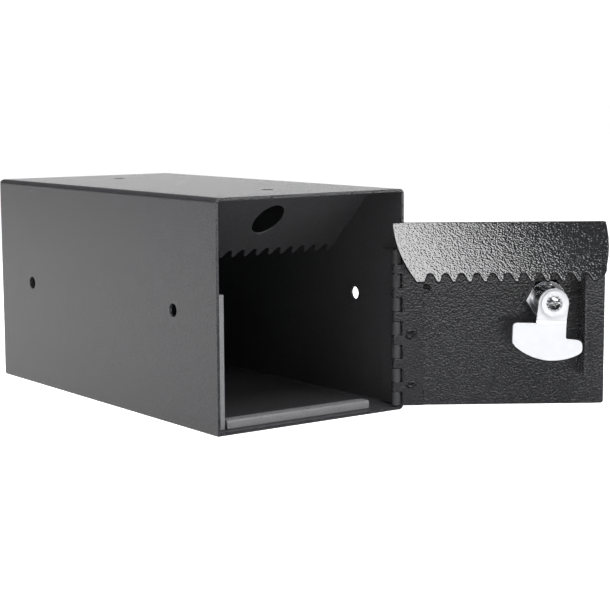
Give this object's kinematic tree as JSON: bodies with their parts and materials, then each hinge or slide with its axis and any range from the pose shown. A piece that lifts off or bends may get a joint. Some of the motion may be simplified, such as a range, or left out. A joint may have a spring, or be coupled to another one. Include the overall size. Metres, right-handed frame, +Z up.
{
  "type": "under-counter cash drop box",
  "caption": "Folded steel cash drop box with a hinged, cam-locked front door, toothed chute baffles and a deposit gap above the door.",
  "frame": {"origin": "centre of the box's flat bottom face, without the open door", "axes": "+Z up; +Y from the open front into the box; +X to the hinge side. Rest pose: door open against its stop, cam hanging down."},
  "size_m": [0.264, 0.4104, 0.151],
  "materials": {
    "outer_coat": "charcoal textured powder coat, semi-gloss",
    "inner_coat": "charcoal powder coat, thinner inside the box",
    "stop_steel": "thin grey coat over steel",
    "hinge_coat": "black coated rolled steel",
    "pin_steel": "plain drawn wire",
    "chrome": "polished plate",
    "bright_zinc": "bright plated steel, satin",
    "dark_zinc": "plated steel",
    "brass": "stamped sheet",
    "spring_steel": "plain spring wire"
  },
  "bodies": {
    "box": {"body_shell": "outer_coat", "back_panel": "outer_coat", "fixed_baffle": "inner_coat", "strike_angle": "stop_steel", "sill_angle": "stop_steel", "hinge_frame_leaf": "hinge_coat", "hinge_pin": "pin_steel"},
    "door": {"hinge_door_leaf": "hinge_coat", "door_panel": "outer_coat", "door_baffle": "outer_coat", "lock_guard": "inner_coat", "lock_housing": "chrome", "lock_nut": "chrome"},
    "lock_cylinder": {"lock_plug": "chrome", "lock_wafer_1": "brass", "lock_wafer_2": "brass", "lock_wafer_3": "brass", "lock_wafer_4": "brass", "lock_wafer_5": "brass", "wafer_spring_1": "spring_steel", "wafer_spring_2": "spring_steel", "wafer_spring_3": "spring_steel", "wafer_spring_4": "spring_steel", "wafer_spring_5": "spring_steel", "lock_stop_washer": "dark_zinc", "lock_cam": "bright_zinc", "cam_star_washer": "bright_zinc", "cam_screw": "dark_zinc"}
  },
  "joints": [
    {"name": "door_hinge", "type": "hinge", "parent": "box", "child": "door", "pos_m": [0.0705, -0.1513, 0.066], "axis": [0, 0, 1], "range_deg": [-145.5, 0]},
    {"name": "lock_turn", "type": "hinge", "parent": "door", "child": "lock_cylinder", "pos_m": [0.15464, -0.20913, 0.076], "axis": [-0.5664, -0.8241, 0], "range_deg": [0, 90]}
  ]
}
